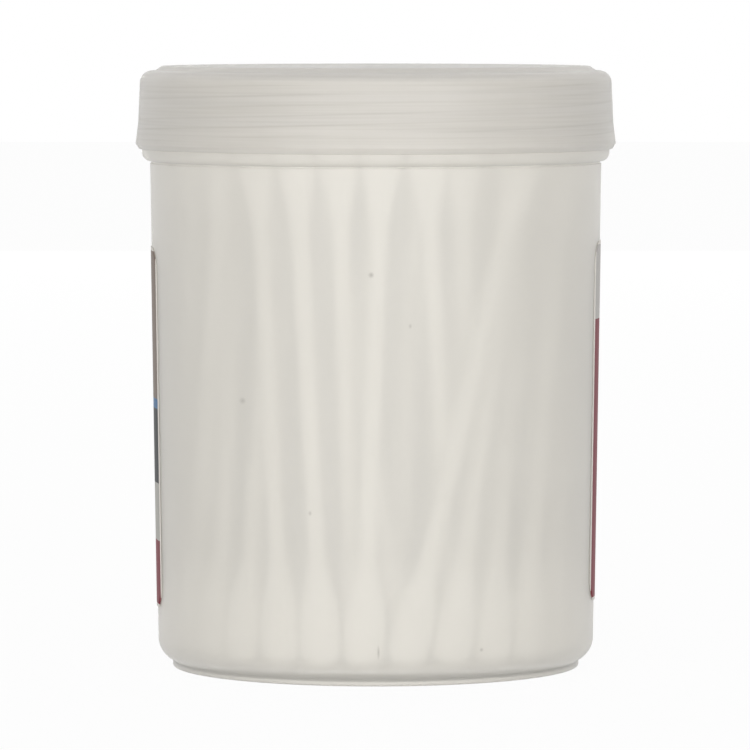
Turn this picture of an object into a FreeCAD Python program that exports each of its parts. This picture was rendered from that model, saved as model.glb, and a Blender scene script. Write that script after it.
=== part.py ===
import FreeCAD, Part

import math
import os
import re

import Sketcher

doc = FreeCAD.newDocument("CottonSwabTub")
sheet = doc.addObject("Spreadsheet::Sheet", "Sizes")

# Sizes are in millimetres or degrees. The surface that the tub stands on is at height 0.
driving_sizes = [
    # Cotton swabs: a paper stick with a cotton tip wound on each end
    ("SwabLength", 73.0),
    ("StickRadius", 1.2),
    ("TipRadius", 2.75),
    ("TipLength", 13.5),
    ("TipBarrelEnd", 6.5),
    ("TipNeckRadius", 1.55),
    ("TipPad", 2.6),
    ("SwabClearance", 0.06),
    # Tub body: a thin wall, drafted so that it widens towards the mouth
    ("Headroom", 4.54),
    ("BaseRadius", 29.45),
    ("ShoulderRadius", 30.45),
    ("TubWall", 1.1),
    ("FloorThickness", 1.3),
    ("CornerRadius", 3.2),
    # Foot ring that the tub stands on
    ("FootInset", 1.95),
    ("FootWidth", 2.0),
    ("FootHeight", 0.7),
    ("FootEdgeRadius", 0.25),
    # Collar bead below the cap, with a fine groove under it
    ("GrooveHeight", 0.25),
    ("GrooveDepth", 0.55),
    ("CollarOverhang", 1.1),
    ("CollarHeight", 1.6),
    ("CollarEdgeRadius", 1.2),
    # Neck inside the cap
    ("NeckInset", 0.65),
    ("NeckWall", 0.9),
    ("NeckHeight", 9.7),
    # Screw thread with two starts, on the neck and inside the cap
    ("ThreadRoom", 1.15),
    ("ThreadDepth", 0.5),
    ("ThreadClearance", 0.12),
    ("ThreadLead", 5.4),
    ("ThreadStarts", 2),
    ("ThreadStart", 2.1),
    ("ThreadWidth", 1.3),
    ("ThreadCrest", 0.6),
    ("ThreadTopMargin", 1.3),
    # Cap
    ("CapGap", 0.2),
    ("CapTopThickness", 1.5),
    ("CapWall", 0.8),
    ("CapFlare", 0.3),
    ("CapFlareHeight", 3.4),
    ("CapLipFlare", 0.65),
    ("CapLipBevel", 0.4),
    ("CapLipInset", 1.0),
    ("CapCornerRadius", 1.7),
    ("PanelInset", 2.9),
    ("PanelStep", 0.6),
    ("PanelBevel", 0.9),
    # Paper label round the back of the tub
    ("LabelGlue", 0.03),
    ("LabelThickness", 0.1),
    ("LabelAngle", 208),
    ("LabelBottom", 8.7),
    ("LabelTopMargin", 10.85),
    ("LabelCornerRadius", 3.0),
]

for row, (alias, value) in enumerate(driving_sizes, start=1):
    sheet.set(f"A{row}", alias)
    sheet.set(f"B{row}", str(value))
    sheet.setAlias(f"B{row}", alias)
doc.recompute()

# Places that several pieces share, as expressions of the sheet's aliases
floor_height = "(FootHeight + FloorThickness)"
rim_height = f"({floor_height} + SwabClearance + SwabLength + Headroom)"
collar_top = f"({rim_height} - NeckHeight)"
collar_bottom = f"({collar_top} - CollarHeight)"
shoulder_height = f"({collar_bottom} - GrooveHeight)"
cap_bottom = f"({collar_top} + CapGap)"
cap_top = f"({rim_height} + CapTopThickness)"
neck_radius = "(ShoulderRadius - NeckInset)"
collar_radius = "(ShoulderRadius + CollarOverhang)"
foot_radius = "(BaseRadius - FootInset)"
cap_bore = f"({neck_radius} + ThreadRoom)"
cap_radius = f"({cap_bore} + CapWall)"
panel_radius = f"({cap_radius} - PanelInset)"
wall_draft = f"((ShoulderRadius - BaseRadius) / ({shoulder_height} - FootHeight))"
label_top = f"({shoulder_height} - LabelTopMargin)"


def size(alias):
    return float(getattr(sheet, alias))


def bound(expression):
    """The expression with every alias pointed at its cell in the sheet."""
    return re.sub(r"\b([A-Z]\w+)", r"Sizes.\1", expression)


def wall_radius(height):
    """Expression for the outer radius of the drafted wall at a height."""
    return f"(BaseRadius + {wall_draft} * ({height} - FootHeight))"


def origin_feature(body, role):
    return next(item for item in body.Origin.OriginFeatures if item.Role == role)


def new_body(name):
    body = doc.addObject("PartDesign::Body", name)
    body.Label = name
    doc.recompute()
    return body


def outline(body, name, plane, corners):
    """A closed sketch through corners, each a pair of expressions for radius and height."""
    sketch = body.newObject("Sketcher::SketchObject", name)
    sketch.AttachmentSupport = [(origin_feature(body, plane), "")]
    sketch.MapMode = "FlatFace"
    count = len(corners)
    # The lines start on a rough circle and the constraints then pull them into place
    middle, spread = 60, 20
    turns = [2 * math.pi * i / count for i in range(count)]
    rough = [
        FreeCAD.Vector(middle + spread * math.cos(turn), middle + spread * math.sin(turn), 0)
        for turn in turns
    ]
    for i in range(count):
        sketch.addGeometry(Part.LineSegment(rough[i], rough[(i + 1) % count]), False)
    for i in range(count):
        sketch.addConstraint(Sketcher.Constraint("Coincident", i, 2, (i + 1) % count, 1))
    for i, (radius, height) in enumerate(corners):
        for kind, axis, expression, start in (
            ("DistanceX", -2, radius, rough[i].x),
            ("DistanceY", -1, height, rough[i].y),
        ):
            if expression == "0":
                sketch.addConstraint(Sketcher.Constraint("PointOnObject", i, 1, axis))
            else:
                index = sketch.addConstraint(Sketcher.Constraint(kind, i, 1, start))
                sketch.setExpression(f"Constraints[{index}]", bound(expression))
    return sketch


def revolve(body, name, sketch):
    feature = body.newObject("PartDesign::Revolution", name)
    feature.Profile = sketch
    feature.ReferenceAxis = (origin_feature(body, "Z_Axis"), [""])
    feature.Angle = 360
    doc.recompute()
    return feature


def round_edge(body, name, base, sketch, corner, rounding):
    """Fillet the circular edge that one corner of a revolved sketch makes."""
    point = sketch.Geometry[corner].StartPoint
    edges = [
        f"Edge{i}"
        for i, edge in enumerate(base.Shape.Edges, start=1)
        if isinstance(edge.Curve, Part.Circle)
        and abs(edge.Curve.Radius - point.x) < 0.001
        and abs(edge.Curve.Center.z - point.y) < 0.001
    ]
    feature = body.newObject("PartDesign::Fillet", name)
    feature.Base = (base, edges)
    feature.setExpression("Radius", bound(rounding))
    doc.recompute()
    return feature


def thread(body, name, plane, root, crest):
    """Helical ridges from a root radius to a crest radius, one for each start."""
    # The ridge's root is sunk a little into the wall so that the two join
    sunk = f"({root} - ({crest} - {root}) / 4)"
    low = f"({collar_top} + ThreadStart)"
    high = f"({low} + ThreadWidth)"
    profile = outline(
        body,
        name + "Profile",
        plane,
        [
            (sunk, low),
            (root, low),
            (crest, f"{low} + (ThreadWidth - ThreadCrest) / 2"),
            (crest, f"{high} - (ThreadWidth - ThreadCrest) / 2"),
            (root, high),
            (sunk, high),
        ],
    )
    doc.recompute()
    ridge = body.newObject("PartDesign::AdditiveHelix", name)
    ridge.Profile = profile
    ridge.ReferenceAxis = (origin_feature(body, "Z_Axis"), [""])
    ridge.Mode = 0
    ridge.setExpression("Pitch", bound("ThreadLead"))
    ridge.setExpression("Height", bound("NeckHeight - ThreadStart - ThreadWidth - ThreadTopMargin"))
    doc.recompute()
    starts = body.newObject("PartDesign::PolarPattern", name + "Starts")
    starts.Originals = [ridge]
    starts.Axis = (origin_feature(body, "Z_Axis"), [""])
    starts.Angle = 360
    starts.setExpression("Occurrences", bound("ThreadStarts"))
    body.Tip = starts
    doc.recompute()


def make_tub():
    body = new_body("tub")
    profile = outline(
        body,
        "ShellOutline",
        "XZ_Plane",
        [
            ("0", "FootHeight"),
            ("BaseRadius", "FootHeight"),
            ("ShoulderRadius", shoulder_height),
            ("ShoulderRadius - GrooveDepth", shoulder_height),
            ("ShoulderRadius - GrooveDepth", collar_bottom),
            (collar_radius, collar_bottom),
            (collar_radius, collar_top),
            (neck_radius, collar_top),
            (neck_radius, rim_height),
            (f"{neck_radius} - NeckWall", rim_height),
            (f"{neck_radius} - NeckWall", collar_top),
            ("ShoulderRadius - TubWall", shoulder_height),
            (f"{wall_radius(floor_height)} - TubWall", floor_height),
            ("0", floor_height),
        ],
    )
    # Corners of the outline, counted from its first
    base_corner, collar_corner, floor_corner = 1, 5, 12
    shell = revolve(body, "Shell", profile)
    outer = round_edge(body, "BaseCorner", shell, profile, base_corner, "CornerRadius")
    inner = round_edge(body, "FloorCorner", outer, profile, floor_corner, "CornerRadius - TubWall")
    round_edge(body, "CollarEdge", inner, profile, collar_corner, "CollarEdgeRadius")
    foot = outline(
        body,
        "FootOutline",
        "XZ_Plane",
        [
            (f"{foot_radius} - FootWidth", "0"),
            (foot_radius, "0"),
            (foot_radius, "FootHeight + FloorThickness / 2"),
            (f"{foot_radius} - FootWidth", "FootHeight + FloorThickness / 2"),
        ],
    )
    ring = revolve(body, "FootRing", foot)
    inside_corner, outside_corner = 0, 1
    outside = round_edge(body, "FootOutside", ring, foot, outside_corner, "FootEdgeRadius")
    round_edge(body, "FootInside", outside, foot, inside_corner, "FootEdgeRadius")
    crest = f"({cap_bore} - ThreadDepth - ThreadClearance)"
    thread(body, "NeckThread", "XZ_Plane", neck_radius, crest)
    return body


def make_cap():
    body = new_body("screw_cap")
    profile = outline(
        body,
        "CapOutline",
        "XZ_Plane",
        [
            ("0", rim_height),
            (cap_bore, rim_height),
            (cap_bore, cap_bottom),
            (f"{cap_radius} + CapLipFlare - CapLipInset", cap_bottom),
            (f"{cap_radius} + CapLipFlare", f"{cap_bottom} + CapLipBevel"),
            (f"{cap_radius} + CapFlare", f"{cap_bottom} + CapFlareHeight"),
            (cap_radius, f"{cap_top} - PanelStep"),
            (f"{panel_radius} + PanelBevel", f"{cap_top} - PanelStep"),
            (panel_radius, cap_top),
            ("0", cap_top),
        ],
    )
    shell = revolve(body, "Cap", profile)
    shoulder_corner = 6
    round_edge(body, "CapCorner", shell, profile, shoulder_corner, "CapCornerRadius")
    # A quarter turn from the neck's, so that each two-start ridge lies between two of the neck's
    thread(body, "CapThread", "YZ_Plane", cap_bore, f"({cap_bore} - ThreadDepth)")
    return body


def make_label():
    """A thin band round the wall, trimmed to the label's length with rounded corners."""
    band = new_body("LabelBand")
    low_wall = f"({wall_radius('LabelBottom')} + LabelGlue)"
    high_wall = f"({wall_radius(label_top)} + LabelGlue)"
    band_profile = outline(
        band,
        "BandOutline",
        "YZ_Plane",
        [
            (low_wall, "LabelBottom"),
            (f"{low_wall} + LabelThickness", "LabelBottom"),
            (f"{high_wall} + LabelThickness", label_top),
            (high_wall, label_top),
        ],
    )
    revolve(band, "Band", band_profile)
    trim = new_body("LabelTrim")
    front = "(ShoulderRadius * cos(LabelAngle / 2))"
    trim_outline = outline(
        trim,
        "TrimOutline",
        "YZ_Plane",
        [
            (front, "LabelBottom"),
            ("2 * ShoulderRadius", "LabelBottom"),
            ("2 * ShoulderRadius", label_top),
            (front, label_top),
        ],
    )
    block = trim.newObject("PartDesign::Pad", "TrimBlock")
    block.Profile = trim_outline
    block.SideType = "Symmetric"
    block.setExpression("Length", bound("4 * ShoulderRadius"))
    doc.recompute()
    # The two long edges of the block at the label's front ends
    front_corners = [trim_outline.Geometry[corner].StartPoint for corner in (0, 3)]
    across = [
        f"Edge{i}"
        for i, edge in enumerate(block.Shape.Edges, start=1)
        for point in front_corners
        if abs(edge.CenterOfMass.y - point.x) < 0.001 and abs(edge.CenterOfMass.z - point.y) < 0.001
    ]
    corners = trim.newObject("PartDesign::Fillet", "TrimCorners")
    corners.Base = (block, across)
    corners.setExpression("Radius", bound("LabelCornerRadius"))
    doc.recompute()
    label = doc.addObject("Part::Common", "back_label")
    label.Label = "back_label"
    label.Base = band
    label.Tool = trim
    doc.recompute()
    return label


def swab_pieces():
    """One stick and one lower tip, standing on the swab's own end at the origin."""
    stick = doc.addObject("Part::Cylinder", "Stick")
    stick.setExpression("Radius", bound("StickRadius"))
    stick.setExpression("Height", bound("SwabLength - 2 * TipPad"))
    stick.setExpression("Placement.Base.z", bound("TipPad"))
    dome = doc.addObject("Part::Sphere", "TipDome")
    dome.setExpression("Radius", bound("TipRadius"))
    dome.setExpression("Placement.Base.z", bound("TipRadius"))
    barrel = doc.addObject("Part::Cylinder", "TipBarrel")
    barrel.setExpression("Radius", bound("TipRadius"))
    barrel.setExpression("Height", bound("TipBarrelEnd - TipRadius"))
    barrel.setExpression("Placement.Base.z", bound("TipRadius"))
    taper = doc.addObject("Part::Cone", "TipTaper")
    taper.setExpression("Radius1", bound("TipRadius"))
    taper.setExpression("Radius2", bound("TipNeckRadius"))
    taper.setExpression("Height", bound("TipLength - TipBarrelEnd"))
    taper.setExpression("Placement.Base.z", bound("TipBarrelEnd"))
    cotton = doc.addObject("Part::MultiFuse", "TipCotton")
    cotton.Shapes = [dome, barrel, taper]
    cotton.Refine = True
    tip = doc.addObject("Part::Cut", "Tip")
    tip.Base = cotton
    tip.Tool = stick
    doc.recompute()
    return stick, tip


# Swabs stand in rings, lettered inwards from the wall. These few swabs at the front lean across their
# neighbours: each line is the ring and place of a swab's foot, then the ring and place of its top. Places
# count from the front to the right.
ring_letters = "ABCDE"
crossing_swabs = [
    (("A", -4), ("B", -3)),
    (("A", -3), ("B", -2)),
    (("A", -2), ("A", -3)),
    (("A", -1), ("A", -2)),
    (("A", 0), ("A", 0)),
    (("A", 1), ("A", 3.6)),
    (("A", 2), ("B", 3.3)),
    (("A", 3), ("B", 4.3)),
    (("A", 4), ("A", 5.4)),
    (("A", 5), ("A", 6.2)),
    (("B", 0), ("A", -1)),
    (("B", 1), ("B", -1)),
    (("B", 2), ("A", 1)),
    (("B", 3), ("A", 2)),
    (("C", 0), ("B", 0)),
    (("C", 1), ("B", 1)),
    (("C", 2), ("B", 2)),
]
# Angle in degrees from the front to place 0 of each ring, at the feet and at the tops
foot_turns = [-3.2, -8, -14, 5, 0]
top_turns = [2.3, 0, 0, 10, 0]
# Share of the places that are filled in the rings inside the outer one
inner_ring_fill = 0.88
settling_rounds = 600


class Packing:
    """Where the swabs stand, found by pushing apart those that touch until none do."""

    def __init__(self):
        self.gap = size("SwabClearance")
        self.tip = size("TipRadius")
        self.floor = size("FootHeight") + size("FloorThickness")
        self.span = size("SwabLength") - 2 * self.tip
        self.stick = size("StickRadius")
        self.foot_wall = size("BaseRadius") - size("TubWall") - self.tip - self.gap
        narrowest = max(size("TubWall"), size("NeckInset") + size("NeckWall"))
        self.top_wall = size("ShoulderRadius") - narrowest - self.tip - self.gap
        # Parts of the way from the foot's centre to the top's, and the swab's radius there
        barrel = (size("TipBarrelEnd") - self.tip) / self.span
        neck_end = (size("TipLength") - self.tip) / self.span
        taper = (barrel + neck_end) / 2
        taper_radius = (self.tip + size("TipNeckRadius")) / 2
        low = [(0, self.tip), (barrel, self.tip), (taper, taper_radius), (neck_end, size("TipNeckRadius"))]
        self.stations = low + [(1 - share, radius) for share, radius in low]
        self.swabs = [[*foot, *top] for foot, top in self.starting_places()]

    def ring(self, wall, index):
        """Radius and number of places of a ring, counted inwards from the wall."""
        width = 2 * self.tip + self.gap
        radius = wall - index * width
        places = math.floor(math.pi / math.asin(min(1, width / 2 / radius)))
        if index:
            places = math.floor(places * inner_ring_fill)
        return radius, max(places, 1)

    def spot(self, wall, turns, letter, place):
        index = ring_letters.index(letter)
        radius, _ = self.ring(wall, index)
        _, places = self.ring(self.foot_wall, index)
        angle = math.radians(turns[index] + 360 / places * place)
        return radius * math.sin(angle), -radius * math.cos(angle)

    def starting_places(self):
        """Pairs of a foot and a top, first the crossing swabs and then the rest of each ring."""
        pairs = [
            (self.spot(self.foot_wall, foot_turns, *foot), self.spot(self.top_wall, top_turns, *top))
            for foot, top in crossing_swabs
        ]
        ring_count = min(len(foot_turns), int(self.foot_wall / (2 * self.tip + self.gap)) + 1)
        for index, letter in enumerate(ring_letters[:ring_count]):
            _, places = self.ring(self.foot_wall, index)
            shift = 1 if index == 0 else 0
            feet = {round(place) % places for (ring, place), _ in crossing_swabs if ring == letter}
            tops = {round(place) % places for _, (ring, place) in crossing_swabs if ring == letter}
            for place in range(places):
                if place not in feet and (place + shift) % places not in tops:
                    foot = self.spot(self.foot_wall, foot_turns, letter, place)
                    pairs.append((foot, self.spot(self.top_wall, top_turns, letter, place + shift)))
        return pairs

    def push(self, a, b):
        """Move two swabs apart where they are too close, and give the worst overlap found."""
        fx, fy = b[0] - a[0], b[1] - a[1]
        tx, ty = b[2] - a[2], b[3] - a[3]
        # Leaning swabs need more room side by side, measured level, than upright ones
        lean = max(
            (a[2] - a[0]) ** 2 + (a[3] - a[1]) ** 2,
            (b[2] - b[0]) ** 2 + (b[3] - b[1]) ** 2,
        )
        stretch = math.sqrt(1 + lean / self.span**2)
        reach = (2 * self.tip + self.gap) * stretch
        if min(fx, tx) > reach or max(fx, tx) < -reach or min(fy, ty) > reach or max(fy, ty) < -reach:
            return 0
        gx, gy = tx - fx, ty - fy
        closest = -(fx * gx + fy * gy) / max(gx * gx + gy * gy, 1e-9)
        stations = list(self.stations)
        stations.append((min(max(closest, 0), 1), self.stick))
        worst = 0
        for share, radius in stations:
            x, y = fx + share * (tx - fx), fy + share * (ty - fy)
            distance = math.hypot(x, y)
            lack = (2 * radius + self.gap) * stretch - distance
            if lack <= 0:
                continue
            worst = max(worst, lack)
            nx, ny = (x / distance, y / distance) if distance > 1e-6 else (1, 0)
            step = lack / (2 * ((1 - share) ** 2 + share**2))
            for swab, sign in ((a, -1), (b, 1)):
                swab[0] += sign * step * (1 - share) * nx
                swab[1] += sign * step * (1 - share) * ny
                swab[2] += sign * step * share * nx
                swab[3] += sign * step * share * ny
            fx, fy = b[0] - a[0], b[1] - a[1]
            tx, ty = b[2] - a[2], b[3] - a[3]
        return worst

    def hold_in(self, swab):
        """Bring a swab's ends back inside the wall, and give how far they were outside."""
        worst = 0
        for start, wall in ((0, self.foot_wall), (2, self.top_wall)):
            distance = math.hypot(swab[start], swab[start + 1])
            if distance > wall:
                worst = max(worst, distance - wall)
                swab[start] *= wall / distance
                swab[start + 1] *= wall / distance
        return worst

    def settle(self):
        """Push and hold in until the overlaps are gone."""
        for _ in range(settling_rounds):
            worst = 0
            for i, swab in enumerate(self.swabs):
                for other in self.swabs[:i]:
                    worst = max(worst, self.push(other, swab))
            for swab in self.swabs:
                worst = max(worst, self.hold_in(swab))
            if worst < self.gap / 4:
                break
        return worst

    def placements(self):
        """Where each swab's lower end stands and which way the swab points."""
        result = []
        for fx, fy, tx, ty in self.swabs:
            centre = FreeCAD.Vector(fx, fy, self.floor + self.gap + self.tip)
            rise = math.sqrt(self.span**2 - (tx - fx) ** 2 - (ty - fy) ** 2)
            along = FreeCAD.Vector(tx - fx, ty - fy, rise).normalize()
            turn = FreeCAD.Rotation(FreeCAD.Vector(0, 0, 1), along)
            result.append(FreeCAD.Placement(centre - along * self.tip, turn))
        return result


def group(name, piece, places):
    """Copies of a piece's shape at many places, as one group of separate solids."""
    feature = doc.addObject("Part::Feature", name)
    feature.Label = name
    copies = []
    for place in places:
        copy = piece.Shape.copy()
        copy.Placement = place.multiply(copy.Placement)
        copies.append(copy)
    feature.Shape = Part.makeCompound(copies)
    return feature


def make_swabs():
    stick, tip = swab_pieces()
    packing = Packing()
    print("swabs", len(packing.swabs), "worst overlap", round(packing.settle(), 4))
    places = packing.placements()
    upside_down = FreeCAD.Placement(
        FreeCAD.Vector(0, 0, size("SwabLength")),
        FreeCAD.Rotation(FreeCAD.Vector(1, 0, 0), 180),
    )
    return [
        group("swab_sticks", stick, places),
        group("lower_cotton_tips", tip, places),
        group("upper_cotton_tips", tip, [place.multiply(upside_down) for place in places]),
    ]


nodes = [make_tub(), make_cap(), make_label()] + make_swabs()
doc.recompute()

for item in doc.Objects:
    if {"Invalid", "Error"} & set(item.State):
        raise RuntimeError(f"{item.Name} failed: {item.State}")
for node in nodes:
    if node.Shape.isNull() or not node.Shape.isValid():
        raise RuntimeError(f"{node.Label} has no valid shape")

os.makedirs("parts", exist_ok=True)
for node in nodes:
    node.Shape.exportStep(f"parts/{node.Label}.step")
    box = node.Shape.BoundBox
    print(
        node.Label,
        len(node.Shape.Solids),
        "solids, volume",
        round(node.Shape.Volume, 2),
        "heights",
        round(box.ZMin, 3),
        round(box.ZMax, 3),
    )
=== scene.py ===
import math

import bmesh
import bpy
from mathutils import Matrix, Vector


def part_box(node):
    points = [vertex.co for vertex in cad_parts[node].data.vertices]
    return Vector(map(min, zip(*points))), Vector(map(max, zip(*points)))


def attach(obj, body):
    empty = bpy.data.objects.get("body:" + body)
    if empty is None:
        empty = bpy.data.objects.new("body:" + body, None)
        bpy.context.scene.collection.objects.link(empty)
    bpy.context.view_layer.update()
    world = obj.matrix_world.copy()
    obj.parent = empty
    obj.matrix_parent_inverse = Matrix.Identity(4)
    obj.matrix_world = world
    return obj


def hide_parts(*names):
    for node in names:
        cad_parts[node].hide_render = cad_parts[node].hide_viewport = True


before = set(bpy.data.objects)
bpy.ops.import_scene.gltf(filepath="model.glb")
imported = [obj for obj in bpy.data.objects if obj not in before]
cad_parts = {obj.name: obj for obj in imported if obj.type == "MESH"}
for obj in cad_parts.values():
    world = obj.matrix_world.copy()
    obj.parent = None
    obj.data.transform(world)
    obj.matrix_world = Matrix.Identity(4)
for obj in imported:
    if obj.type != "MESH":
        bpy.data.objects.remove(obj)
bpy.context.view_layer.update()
mm = 0.001
_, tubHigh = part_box("tub")
capLow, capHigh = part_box("screw_cap")
labelLow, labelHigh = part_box("back_label")
print("frame loaded")


# Small helpers for colours, nodes and meshes

def srgb(code):
    channels = [int(code[i : i + 2], 16) / 255 for i in (1, 3, 5)]
    linear = [c / 12.92 if c <= 0.04045 else ((c + 0.055) / 1.055) ** 2.4 for c in channels]
    return (*linear, 1.0)


def addNode(tree, kind, inputs=None, **settings):
    node = tree.nodes.new(kind)
    for name, value in settings.items():
        setattr(node, name, value)
    for key, value in (inputs or {}).items():
        if isinstance(value, bpy.types.NodeSocket):
            tree.links.new(value, node.inputs[key])
        else:
            node.inputs[key].default_value = value
    return node


def addSteps(tree, kind, known, steps):
    # Each step is a new name, an operation and what it works on: names that are known, or numbers
    for name, operation, *parts in steps:
        inputs = {i: known.get(part, part) for i, part in enumerate(parts)}
        known[name] = addNode(tree, kind, inputs, operation=operation).outputs[0]


def newMaterial(name):
    material = bpy.data.materials.new(name)
    material.use_nodes = True
    tree = material.node_tree
    return material, tree, tree.nodes["Principled BSDF"]


def newPiece(name, mesh, body, material, node):
    piece = bpy.data.objects.new(name, mesh)
    bpy.context.collection.objects.link(piece)
    mesh.materials.clear()
    mesh.materials.append(material)
    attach(piece, body)
    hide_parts(node)


def cleanShell(mesh):
    shell = bmesh.new()
    shell.from_mesh(mesh)
    bmesh.ops.remove_doubles(shell, verts=shell.verts, dist=0.002 * mm)
    bmesh.ops.dissolve_degenerate(shell, edges=shell.edges, dist=0.001 * mm)
    bmesh.ops.recalc_face_normals(shell, faces=shell.faces)
    for face in shell.faces:
        face.smooth = True
    shell.to_mesh(mesh)
    shell.free()
    return mesh


def startTree(name, inputs, output):
    tree = bpy.data.node_groups.new(name, "GeometryNodeTree")
    for title, kind in inputs:
        tree.interface.new_socket(title, in_out="INPUT", socket_type="NodeSocket" + kind)
    tree.interface.new_socket(output, in_out="OUTPUT", socket_type="NodeSocketGeometry")
    return tree, tree.nodes.new("NodeGroupInput").outputs


def endTree(tree, geometry, material):
    solid = addNode(tree, "GeometryNodeRealizeInstances", {"Geometry": geometry})
    dressed = addNode(tree, "GeometryNodeSetMaterial", {"Geometry": solid.outputs[0], "Material": material})
    tree.links.new(dressed.outputs[0], tree.nodes.new("NodeGroupOutput").inputs[0])
    return tree


def runTree(name, source, tree, values):
    # Runs a geometry tree on a mesh and gives back the plain mesh that it makes
    carrier = bpy.data.objects.new(name + "Carrier", source)
    bpy.context.collection.objects.link(carrier)
    modifier = carrier.modifiers.new("nodes", "NODES")
    modifier.node_group = tree
    for item in tree.interface.items_tree:
        if item.item_type == "SOCKET" and item.in_out == "INPUT" and item.name in values:
            modifier[item.identifier] = values[item.name]
    graph = bpy.context.evaluated_depsgraph_get()
    mesh = bpy.data.meshes.new_from_object(carrier.evaluated_get(graph))
    mesh.name = name
    bpy.data.objects.remove(carrier)
    return mesh


# Lathe: a profile turned about the tub's axis, with screw ridges where the profile asks for them

def roundedProfile(corners):
    # Each corner is radius, height, rounding and whether ridges rise there; rounded ones become arcs
    arcStep = math.radians(9)
    points = []
    for i, (radius, height, rounding, ridge) in enumerate(corners):
        here = Vector((radius, height))
        if rounding <= 0:
            points.append((here, ridge))
            continue
        before = (Vector(corners[i - 1][:2]) - here).normalized()
        after = (Vector(corners[i + 1][:2]) - here).normalized()
        half = before.angle(after) / 2
        reach = rounding / math.tan(half)
        centre = here + (before + after).normalized() * rounding / math.sin(half)
        first, last = here + before * reach - centre, here + after * reach - centre
        sweep = -first.angle_signed(last)
        steps = max(2, round(abs(sweep) / arcStep))
        for k in range(steps + 1):
            cos, sin = math.cos(sweep * k / steps), math.sin(sweep * k / steps)
            spoke = Vector((first.x * cos - first.y * sin, first.x * sin + first.y * cos))
            points.append((centre + spoke, ridge))
    return points


def profileMesh(name, points, longest):
    # Long runs are divided, and finely where ridges are to rise
    ridgeStep = 0.12 * mm
    fine = []
    for (here, ridge), (there, nextRidge) in zip(points, points[1:]):
        both = ridge and nextRidge
        count = max(1, math.ceil((there - here).length / (ridgeStep if both else longest)))
        for k in range(count):
            fine.append((here.lerp(there, k / count), 1.0 if both else 0.0))
    fine.append(points[-1])
    mesh = bpy.data.meshes.new(name + "Profile")
    edges = [(i, i + 1) for i in range(len(fine) - 1)]
    mesh.from_pydata([(point.x, 0, point.y) for point, _ in fine], edges, [])
    ridges = mesh.attributes.new("ridge", "FLOAT", "POINT")
    for i, (_, ridge) in enumerate(fine):
        ridges.data[i].value = ridge
    return mesh


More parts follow.
